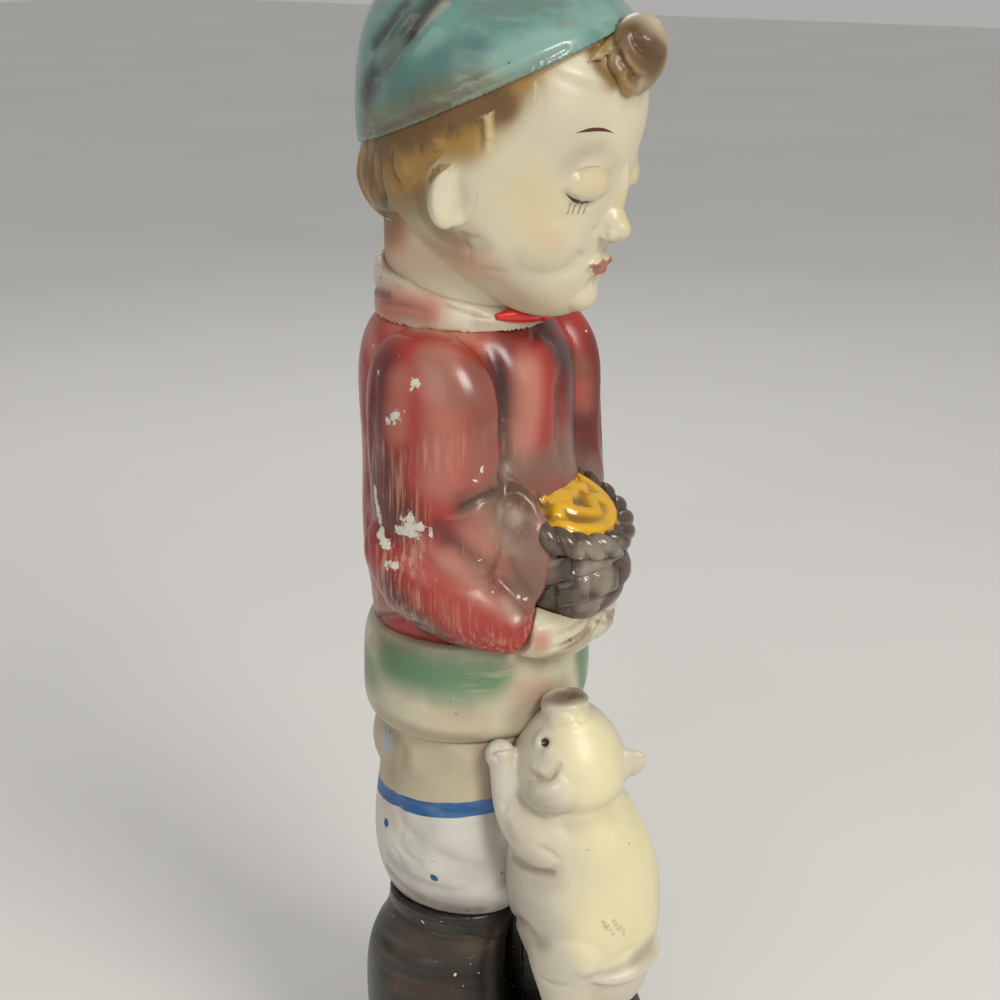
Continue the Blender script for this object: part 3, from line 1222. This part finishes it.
# Cups the ears and lets their front edges run out on the cheeks
def shapeEars(head):
    ear = headWork["ear"]
    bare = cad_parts["head"].data
    skull = BVHTree.FromPolygons([v.co for v in bare.vertices], [p.vertices for p in bare.polygons])
    points = clay[head.name]["points"]
    thick, wide = ear["reach"]
    for node in ("ear_right", "ear_left"):
        low, high = (np.array(corner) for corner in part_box(node))
        place = (points - (low + high) / 2) / ((high - low) / 2)
        near = np.where((np.abs(place[:, 1:]) < wide).all(1) & (np.abs(place[:, 0]) < thick))[0]
        away = ((place[near, 1:] - ear["hollowAt"]) / ear["hollowSize"]) ** 2
        keep = 1 - eased(between(-place[near, 1], *ear["front"]))
        keep = keep * (1 - ear["hollow"] * np.exp(-away.sum(1)))
        for index, part in zip(near, keep):
            spot = Vector(points[index])
            skin, out = skull.find_nearest(spot)[:2]
            over = (spot - skin).dot(out)
            if over > 0:
                points[index] += np.array(out) * over * (part - 1)
    settle(head)


# Softens the lids, the jaw and the cheek before the ear
def softenFace(head):
    lids = [[faceSpot(head, side * x, headWork["lidLevel"]) for x in headWork["lidEnds"]] for side in (1, -1)]
    lines = [(lid, headWork["lidSoft"]) for lid in lids]
    for width, pixels in headWork["softLines"]:
        spots = seen(head, *pixels)
        lines += [(spots, width), (flip(spots), width)]
    ease(head, lines, headWork["softTurns"])


# Painted brows, lashes and lips, in the head's own millimetres
def features(g, colour):
    work = headWork
    spot = g.place((mm, mm, mm), headTilt, [v * mm for v in headPlace], "TEXTURE")
    x, y, z = g.add("SeparateXYZ", Vector=spot).outputs
    front = g.ramp(y, *work["front"])
    side = g.sum("ABSOLUTE", x)

    # A thin curved line: 1 on it, 0 off it, thinner towards both ends
    def arc(middle, level, bend, low, high, half):
        u = g.sum("SUBTRACT", side, middle)
        off = g.sum("ABSOLUTE", g.sum("SUBTRACT", z, g.sum("ADD", g.times(u, u, bend), level)))
        inner, outer = (part * (high - low) for part in work["curveTaper"])
        thin = g.times(g.ramp(side, low, low + inner), g.ramp(side, high, high - outer), half)
        return g.times(g.ramp(g.sum("SUBTRACT", thin, off), *work["curveEdge"]), front)

    colour = g.mix(arc(*work["brow"]), colour, colour4("maroon"))
    colour = g.mix(arc(*work["lashLine"]), colour, colour4("bark"))
    colour = g.mix(g.times(arc(*work["lidFold"]), work["lidFoldAmount"]), colour, colour4("hairBrown"))
    lashes = work["lashes"]
    down = g.times(g.ramp(z, *lashes["top"]), g.ramp(z, *lashes["tip"]))
    for lash in range(lashes["count"]):
        root = g.sum("ADD", g.times(z, lashes["lean"]), lashes["first"] + lash * lashes["gap"])
        line = g.ramp(g.sum("ABSOLUTE", g.sum("SUBTRACT", side, root)), *lashes["edge"])
        colour = g.mix(g.times(line, down, front, lashes["amount"]), colour, colour4("hairBrown"))
    lips = work["lips"]
    bow = g.times(g.sum("ABSOLUTE", g.sum("SUBTRACT", side, lips["peak"])), lips["slope"])
    upper = g.times(g.ramp(z, *lips["upperEnd"]), g.ramp(g.sum("ADD", z, bow), *lips["top"]))
    sag = g.times(side, side, lips["curve"])
    lower = g.times(g.ramp(z, *lips["lowerStart"]), g.ramp(g.sum("SUBTRACT", z, sag), *lips["bottom"]))
    red = g.times(g.sum("MAXIMUM", upper, lower), g.ramp(side, *lips["corner"]), front, lips["amount"])
    return g.mix(red, colour, colour4("red"))


def makeHead():
    work = headWork
    lumps = []
    for both, (x, y, z), size, turn in work["lumps"]:
        for side in ((1, -1) if both else (1,)):
            lumps.append(lump((side * x, y, z), size, (turn[0], side * turn[1], side * turn[2]), headStand))
    head = form("faceAndNeck", ["head", "ear_right", "ear_left"], work, lumps)
    shapeEars(head)
    softenFace(head)
    basecoat(head, "ivory")
    for key, both in (("faceLines", True), ("middleLines", False)):
        for width, depth, places in work[key]:
            faceLine(head, width, depth, places, both)
    handWork(head, work)
    hairTint(head)
    for key, both in (("faceSprays", True), ("middleSprays", False)):
        for colour, width, amount, places in work[key]:
            faceSpray(head, colour, width, amount, places, both)
    coats(head, work)
    coats(head, work, ["lateSprays"])
    settle(head)
    wear(head, glaze("facePaint", work["finish"], features))
    return head


# Hair and the curl on the forehead
hairWork = {
    "voxel": 0.6, "smooth": 2,
    "lumps": [((-5, -40.5, 30), (13, 10, 15), (0, 25, 0))],
    # the plane of the cap's brim, and how far the hair sinks above it
    "brim": {"level": (0, 6, 387.9), "slope": -21.3, "roll": -10.8, "clear": 3, "fade": 3, "sink": 2.1},
    "curlFront": -34, "curlFoot": 18, "grooveStart": 1.4,
    "bothSides": [
        (1.6, -1.3, [(396, 145), (390, 160), (395, 178), (408, 190)]),
        (1.6, -1.2, [(384, 146), (380, 170), (384, 195), (392, 215)]),
        (1.5, -1.1, [(373, 150), (370, 175), (374, 200)]),
        (1.6, -1.0, [(420, 140), (420, 150), (421, 158)]),
        (1.6, -1.0, [(452, 125), (447, 136), (442, 146)]),
        (1.6, -1.0, [(470, 118), (466, 135), (455, 155)]),
        (1.6, -1.0, [(404, 205), (402, 222), (398, 240)]),
        (1.6, -1.0, [(392, 212), (393, 228), (391, 242)]),
        (4.0, 0.9, [(402, 155), (404, 172), (412, 182)]),
        (4.0, 0.8, [(435, 138), (438, 152)]),
    ],
    "lines": [
        (2.2, -1.6, [(616, 38), (619, 56), (630, 72), (648, 80)]),
        (2.2, -1.5, [(630, 26), (636, 42), (648, 54), (664, 58)]),
        (1.8, -0.9, [(626, 34), (628, 52), (640, 66), (656, 70)]),
        (3.0, 1.3, [(610, 40), (612, 62), (624, 80), (642, 90)]),
        (3.0, 1.0, [(640, 34), (652, 42), (664, 44)]),
    ],
    "roundLines":
    [(1.8, -1.2, [(turn, 366), (turn + 5, 354), (turn - 2, 342)]) for turn in range(135, 226, 11)]
    + [(1.8, -1.1, [(turn, 384), (turn - 4, 374), (turn + 3, 364)]) for turn in (112, 121, 238, 247, 256)]
    + [(3.0, 0.8, [(turn, 364), (turn + 5, 352), (turn - 1, 344)]) for turn in range(140, 226, 11)],
    # on the hair and on the head alike, so that the edge between them doesn't show
    "bothSprays": [
        ("hairBrown", 8, 0.75, [(380, 148), (420, 135), (470, 112), (500, 100)]),
        ("hairBrown", 7, 0.7, [(495, 100), (500, 112)]),
        ("gold", 8, 0.7, [(400, 165), (415, 175)]),
        ("gold", 8, 0.6, [(450, 150), (470, 145)]),
        ("hairBrown", 8, 0.6, [(370, 160), (378, 195), (390, 228)]),
        ("olive", 7, 0.4, [(384, 190), (396, 225)]),
        ("umber", 4, 0.6, [(366, 150), (364, 180), (370, 205)]),
        ("rose", 6, 0.3, [(392, 235), (400, 242)]),
    ],
    "lockSprays": [("ivoryWarm", 2.4, 0.65, [(487, 114), (489, 140), (485, 162)])],
    # the curl on the forehead
    "sprays": [
        ("ochre", 30, 0.85, [(622, 30), (640, 50), (648, 74)]),
        ("gold", 14, 0.5, [(612, 40), (618, 64)]),
        ("ivory", 7, 0.75, [(620, 46), (628, 66), (640, 80)]),
        ("bone", 8, 0.6, [(634, 16), (648, 20), (657, 36)]),
        ("hairBrown", 12, 0.9, [(634, 38), (648, 50), (656, 62)]),
        ("ochre", 7, 0.7, [(606, 44), (612, 66), (628, 84)]),
        ("umber", 5, 0.6, [(640, 60), (656, 68)]),
        ("umber", 3, 0.7, [(634, 30), (642, 44), (660, 56)]),
        ("gold", 4, 0.5, [(622, 56), (632, 68)]),
        ("umber", 4, 0.7, [(654, 46), (664, 54)]),
        ("hairBrown", 3, 0.7, [(612, 46), (620, 66), (636, 80)]),
    ],
    "roundSprays": [row for turn in range(130, 231, 20) for row in (
        ("hairBrown", 9, 0.6, [(turn, 380), (turn, 372)]),
        ("gold", 7, 0.5, [(turn + 8, 362), (turn + 8, 350)]))],
    "wash": ("hairBrown", 0.75, 0.4, 1.3),
    "finish": {"rough": (0.30, 0.42), "mottle": 0.12, "grain": 0.12, "bump": 0.5, "coat": 0.12,
               "streak": {"scale": (1, 1, 0.15), "size": 240, "amount": 0.3, "paint": "hairBrown"}},
}


# Sinks the hair a little where the cap covers it
def sinkUnderCap(hair):
    brim = hairWork["brim"]
    slope, roll = math.radians(brim["slope"]), math.radians(brim["roll"])
    tilt = Matrix.Rotation(slope, 3, "X") @ Matrix.Rotation(roll, 3, "Y")
    above = (clay[hair.name]["points"] / mm - np.array(brim["level"])) @ np.array(tilt @ Vector((0, 0, 1)))
    clay[hair.name]["push"] -= np.clip((above - brim["clear"]) / brim["fade"], 0, 1) * brim["sink"] * mm
    settle(hair)


# Thins the skirt of the hair out, so that it runs in under the skin
def tuckIn(hair, thick, curl):
    points = clay[hair.name]["points"]
    skin = clay["faceAndNeck"]["tree"]
    sink = hairline["sink"] * mm
    for index in np.where((thick < 1) & ~curl)[0]:
        spot = Vector(points[index])
        near, out = skin.find_nearest(spot)[:2]
        over = (spot - near).dot(out) + sink
        if over > 0:
            points[index] += np.array(out) * over * (thick[index] - 1)


def makeHair(head):
    work = hairWork
    lumps = [lump(place, size, turn, headStand) for place, size, turn in work["lumps"]]
    hair = form("hairMass", ["hair", "forelock"], work, lumps)
    sinkUnderCap(hair)
    off, local = behindHairline(hair)
    curl = (local[:, 1] < work["curlFront"]) & (local[:, 2] > work["curlFoot"])
    thick = eased(np.clip(off / hairline["edge"], 0, 1))
    tuckIn(hair, thick, curl)
    basecoat(hair, "ivory")
    hairTint(hair)
    settle(hair)
    handWork(hair, work)
    clay[hair.name]["push"] *= np.where(curl, 1, np.clip(thick * work["grooveStart"], 0, 1))
    for piece in (hair, head):
        coats(piece, work, ["bothSprays", "lockSprays"])
    dry(head)
    coats(hair, work, ["sprays", "roundSprays"])
    crevices(hair, *work["wash"])
    settle(hair)
    dry(hair)
    wear(hair, glaze("hairPaint", work["finish"]))


makeHair(makeHead())

# Cap
capWork = {
    "voxel": 0.85, "smooth": 4,
    "lines": [
        (5.5, -1.8, [(436, 0), (418, 20), (398, 42), (380, 66), (366, 88)]),
        (4.0, -1.5, [(404, 5), (390, 20), (376, 40), (364, 60)]),
        (6.0, 1.6, [(456, 2), (436, 24), (410, 52), (388, 80)]),
        (4.0, 1.3, [(420, 4), (404, 22), (386, 46)]),
        (1.6, -0.7, [(366, 137), (400, 119), (470, 94), (545, 59), (640, 22)]),
        (3.0, 0.7, [(368, 128), (400, 111), (470, 86), (545, 51), (630, 18)]),
        (3.0, -0.5, [(480, 30), (510, 14), (540, 6)]),
    ],
    "roundLines": [
        (4.5, -1.5, [(178, 398), (165, 406), (150, 416), (140, 424)]),
        (4.5, -1.5, [(205, 396), (218, 404), (235, 414), (250, 421)]),
        (5.5, 1.3, [(188, 396), (184, 408), (176, 418)]),
        (4.0, -1.4, [(-80, 410), (-95, 416), (-115, 422)]),
        (4.0, -1.2, [(-50, 414), (-62, 420), (-80, 425)]),
        (5.0, 1.0, [(-68, 410), (-80, 417), (-98, 423)]),
        (3.0, -0.9, [(195, 378), (210, 386), (225, 396)]),
        (3.0, -0.9, [(160, 378), (150, 388), (138, 398)]),
    ],
    "bothSprays": [
        ("soot", 8, 0.9, [(434, 2), (416, 22), (396, 44), (378, 70), (366, 92)]),
        ("soot", 5, 0.8, [(404, 7), (388, 24), (374, 44)]),
        ("olive", 10, 0.6, [(368, 130), (400, 114), (450, 96), (490, 82)]),
        ("umber", 9, 0.35, [(420, 100), (470, 86)]),
        ("soot", 9, 0.35, [(364, 90), (366, 120)]),
        ("umber", 3, 0.5, [(366, 140), (400, 122), (470, 97), (545, 62), (640, 25)]),
        ("bone", 3.5, 0.4, [(444, 6), (432, 18), (422, 28)]),
        ("tealPale", 9, 0.5, [(500, 62), (540, 46), (570, 40)]),
        ("tealPale", 6, 0.4, [(380, 60), (396, 48)]),
        ("tealDeep", 10, 0.45, [(400, 90), (430, 70), (470, 55)]),
        ("mauve", 8, 0.22, [(480, 8), (520, 4), (560, 2)]),
        ("tealPale", 7, 0.35, [(580, 20), (610, 14)]),
    ],
    "sprays": [("olive", 4, 0.6, [(644, 8), (646, 22)])],
    "wash": ("soot", 0.6, 0.8, 2.4),
    "roundSprays": [
        ("soot", 7, 0.5, [(178, 398), (165, 406), (150, 416)]),
        ("soot", 7, 0.5, [(205, 396), (218, 404), (235, 414)]),
        ("mauve", 9, 0.4, [(170, 380), (190, 378), (210, 382)]),
        ("tealPale", 10, 0.4, [(180, 388), (200, 386)]),
    ],
    "finish": {"rough": (0.16, 0.30), "mottle": 0.09, "grain": 0.1, "bump": 0.45, "coat": 0.35,
               "coatRough": 0.14, "specks": [("soot", 420, 0.80)],
               "streak": {"scale": (1, 1, 3), "size": 60, "amount": 0.35, "paint": "tealPale"}},
}


def makeCap():
    cap = form("softCap", ["cap"], capWork)
    basecoat(cap, "teal")
    handWork(cap, capWork)
    coats(cap, capWork)
    crevices(cap, *capWork["wash"])
    settle(cap)
    dry(cap)
    wear(cap, glaze("capPaint", capWork["finish"]))


makeCap()

# Collar and neckerchief
collarWork = {
    "voxel": 0.65, "smooth": 5,
    "lines": [
        (1.8, -1.2, [(380, 283), (400, 286), (425, 289), (452, 294), (466, 299)]),
        (4.0, 0.9, [(380, 270), (410, 274), (440, 279)]),
        (1.4, -0.7, [(430, 300), (450, 306), (470, 312), (495, 318)]),
        (3.0, 0.8, [(480, 288), (510, 296), (540, 304)]),
        (2.0, -0.6, [(372, 300), (400, 305), (430, 312)]),
        (1.4, -0.8, [(545, 322), (538, 330), (535, 338)]),
    ],
    "roundLines": [
        (1.8, -1.1, [(120, 321), (150, 320), (180, 319), (210, 320), (240, 321)]),
        (1.8, -1.0, [(-30, 318), (-60, 320), (-90, 321)]),
        (4.0, 0.8, [(-40, 323), (-70, 325), (-95, 326)]),
        (4.0, 0.8, [(130, 326), (160, 325), (190, 325), (230, 326)]),
        (1.8, -0.8, [(178, 318), (181, 312)]),
    ],
    "sprays": [
        ("rose", 9, 0.7, [(380, 298), (405, 303), (430, 308)]),
        ("red", 6, 0.45, [(384, 306), (405, 310), (425, 313)]),
        ("rose", 6, 0.45, [(388, 268), (430, 276), (470, 284)]),
        ("mauve", 5, 0.4, [(480, 320), (520, 326), (545, 326)]),
        ("bone", 5, 0.5, [(450, 288), (490, 300)]),
    ],
    "roundSprays": [
        ("rose", 9, 0.7, [(120, 314), (150, 313), (180, 312), (210, 313), (240, 314)]),
        ("rose", 8, 0.5, [(-40, 314), (-70, 315), (-100, 314)]),
        ("maroon", 3, 0.6, [(120, 320), (150, 319), (180, 318), (210, 319), (240, 320)]),
    ],
    "finish": {"rough": (0.32, 0.46), "mottle": 0.06, "grain": 0.18, "bump": 0.55, "coat": 0.05,
               "specks": [("umber", 340, 0.79)],
               "streak": {"scale": (1, 1, 0.2), "size": 420, "amount": 0.3, "paint": "rose"}},
    "wash": ("maroon", 0.75, 0.35, 1.0),
    "hem": [(368, 308), (381, 316), (405, 324), (432, 328), (467, 331), (507, 330), (530, 326)],
    "hemSoft": 4, "hemTurns": 12,
}
scarfLook = {"voxel": 0.45, "smooth": 2, "finish": {"rough": (0.26, 0.4), "coat": 0.2}}


def makeCollar():
    work = collarWork
    collar = form("foldedCollar", ["collar"], work)
    basecoat(collar, "bone")
    handWork(collar, work)
    coats(collar, work)
    crevices(collar, *work["wash"])
    settle(collar)
    hem = seen(collar, *work["hem"])
    ease(collar, [(hem, work["hemSoft"]), (flip(hem), work["hemSoft"])], work["hemTurns"])
    dry(collar)
    wear(collar, glaze("collarPaint", work["finish"]))


def makeScarf():
    nodes = ["neckerchief_knot", "neckerchief_wing_right", "neckerchief_wing_left"]
    scarf = form("neckerchief", nodes, scarfLook)
    basecoat(scarf, "scarlet")
    dry(scarf)
    wear(scarf, glaze("scarfPaint", scarfLook["finish"]))


makeCollar()
makeScarf()

# Pig
pigNodes = ["pig_body", "pig_head", "pig_snout", "pig_ear_right", "pig_ear_left", "pig_foreleg_right",
            "pig_foreleg_left", "pig_hind_leg_right", "pig_hind_leg_left", "pig_tail"]
pigWork = {
    "voxel": 0.75, "smooth": 5,
    "lines": [
        (2.4, -1.9, [(509, 852), (520, 864), (538, 873), (552, 873), (561, 864)]),
        (6.0, -1.6, [(500, 744), (501, 752)]),
        (2.4, -0.9, [(482, 752), (480, 768), (484, 784)]),
        (5.0, 0.5, [(545, 808), (575, 814), (605, 808)]),
        (2.2, -1.0, [(533, 846), (548, 852), (562, 862)]),
        (3.2, -1.3, [(508, 905), (520, 922), (534, 936), (544, 946)]),
        (2.0, -2.2, [(562, 762), (554, 772), (544, 778), (534, 776), (529, 768)]),
        (3.5, 1.4, [(528, 782), (540, 791), (554, 788), (566, 776)]),
        (2.2, 0.8, [(530, 762), (535, 768), (545, 770)]),
        (1.6, -0.6, [(520, 792), (540, 806), (560, 808)]),
        (2.6, -2.2, [(544, 742)]),
        (2.4, 0.9, [(538, 750), (537, 742), (542, 734), (550, 738)]),
        (2.2, 0.7, [(541, 754), (549, 750), (552, 742)]),
        (2.0, -0.8, [(535, 722), (545, 714), (556, 712), (580, 716), (596, 712)]),
        (2.6, 0.7, [(540, 716), (560, 720), (585, 722), (600, 716)]),
        (1.6, -0.7, [(548, 706), (566, 712), (592, 706)]),
        (2.4, -1.0, [(570, 696)]),
        (1.4, -0.7, [(488, 752), (496, 758), (500, 766)]),
        (2.0, -0.8, [(626, 786), (632, 776), (636, 766)]),
        (3.0, -1.0, [(640, 940), (625, 954), (600, 966), (586, 970)]),
        (4.0, 1.3, [(632, 952), (612, 964), (592, 970), (574, 972)]),
        (4.0, 0.7, [(512, 815), (515, 832), (524, 845)]),
        (3.0, -0.6, [(503, 800), (508, 812)]),
        (2.4, -0.5, [(538, 975), (552, 985), (575, 985)]),
    ],
    "sprays": [
        ("hogYellow", 24, 0.9, [(612, 830), (618, 870), (612, 910)]),
        ("hogYellow", 18, 0.85, [(590, 756), (604, 784)]),
        ("hogYellow", 18, 0.9, [(640, 820), (648, 870), (644, 920)]),
        ("hogYellow", 14, 0.8, [(622, 740), (632, 780)]),
        ("hogYellow", 14, 0.8, [(580, 732), (604, 740)]),
        ("hogYellow", 12, 0.8, [(590, 940), (612, 950), (632, 935)]),
        ("mauve", 5, 0.7, [(548, 700), (570, 696), (592, 700)]),
        ("umber", 3.5, 0.6, [(560, 694), (580, 696)]),
        ("mauve", 7, 0.2, [(540, 882), (554, 880)]),
        ("umber", 2.2, 0.45, [(512, 857), (532, 871), (552, 873)]),
        ("mauve", 5, 0.45, [(518, 918), (532, 934), (544, 944)]),
        ("mauve", 5, 0.3, [(486, 756), (496, 762)]),
        ("bone", 3.2, 0.6, [(544, 742)]),
        ("taupe", 16, 0.3, [(508, 880), (512, 908), (518, 934)]),
        ("mauve", 2.4, 0.35, [(554, 771), (546, 778), (536, 776)]),
        ("mauve", 8, 0.25, [(508, 800), (516, 830)]),
        ("umber", 7, 0.35, [(640, 962), (650, 952)]),
        ("mauve", 7, 0.2, [(545, 806), (575, 812), (605, 806)]),
        ("umber", 1.1, 0.45, [(603, 922), (606, 928)]),
        ("umber", 1.0, 0.4, [(608, 926), (613, 934)]),
        ("umber", 1.1, 0.4, [(614, 921), (618, 929)]),
        ("umber", 1.0, 0.35, [(621, 927), (624, 934)]),
    ],
    "lateSprays": [
        ("grey", 22, 0.3, [(524, 730), (526, 780)]),
        ("grey", 20, 0.35, [(512, 862), (520, 900), (534, 930)]),
        ("taupe", 8, 0.5, [(562, 697), (580, 697)]),
        ("plaster", 13, 0.6, [(492, 762), (497, 800)]),
    ],
    "eye": (544, 742), "eyeEdge": (1.7, 1.35),
    "finish": {"rough": (0.30, 0.44), "mottle": 0.05, "grain": 0.22, "bump": 0.6, "coat": 0.1,
               "coatRough": 0.28, "specks": [("umber", 340, 0.785)], "mottleScale": 45},
}


def makePig():
    work = pigWork
    pig = form("standingPig", pigNodes, work)
    basecoat(pig, "hog")
    handWork(pig, work)
    coats(pig, work)
    clay[pig.name]["marks"]["eyeFar"] = farFrom(pig, seen(pig, work["eye"]))
    settle(pig)
    coats(pig, work, ["lateSprays"])
    dry(pig)

    def eyes(g, colour):
        return g.mix(g.ramp(g.mark("eyeFar"), *work["eyeEdge"]), colour, colour4("soot"))

    wear(pig, glaze("pigPaint", work["finish"], eyes))


makePig()

# Floor and light
studio = {"floor": (0.80, 0.79, 0.77), "world": (1.0, 0.985, 0.96), "worldStrength": 0.42,
          "floorSize": 12, "floorTone": 0.015, "floorRough": 0.8, "aim": (0, 0, 0.22),
          "lamps": [("key", (-0.36, -1.10, 1.12), 0.55, 12.0, (1.0, 0.97, 0.91)),
                    ("fill", (-1.1, -0.1, 0.7), 0.8, 2.4, (1.0, 0.98, 0.95)),
                    ("rimLight", (0.8, 0.7, 1.0), 0.6, 2.4, (1.0, 0.98, 0.95))]}


def addStudio():
    deselect()
    bpy.ops.mesh.primitive_plane_add(size=studio["floorSize"], location=(0, 0, 0))
    floor = bpy.context.object
    floor.name = "floor"
    g = Graph("floor")
    tone = g.ramp(g.noise(g.place(), 3, 2), 0.3, 0.7, 1 - studio["floorTone"], 1 + studio["floorTone"])
    g.plug(g.shader, "Base Color", g.shade((*studio["floor"], 1), tone))
    g.shader.inputs["Roughness"].default_value = studio["floorRough"]
    wear(floor, g.material)
    world = bpy.data.worlds.new("studio")
    world.use_nodes = True
    backdrop = world.node_tree.nodes["Background"]
    backdrop.inputs["Color"].default_value = (*studio["world"], 1)
    backdrop.inputs["Strength"].default_value = studio["worldStrength"]
    bpy.context.scene.world = world
    for name, place, size, power, colour in studio["lamps"]:
        lamp = bpy.data.lights.new(name, "AREA")
        lamp.size = size
        lamp.energy = power
        lamp.color = colour
        stand = bpy.data.objects.new(name, lamp)
        bpy.context.scene.collection.objects.link(stand)
        stand.location = place
        stand.rotation_euler = (Vector(studio["aim"]) - Vector(place)).to_track_quat("-Z", "Y").to_euler()
    bpy.context.scene.view_settings.view_transform = "Standard"


addStudio()
print("studio lit")
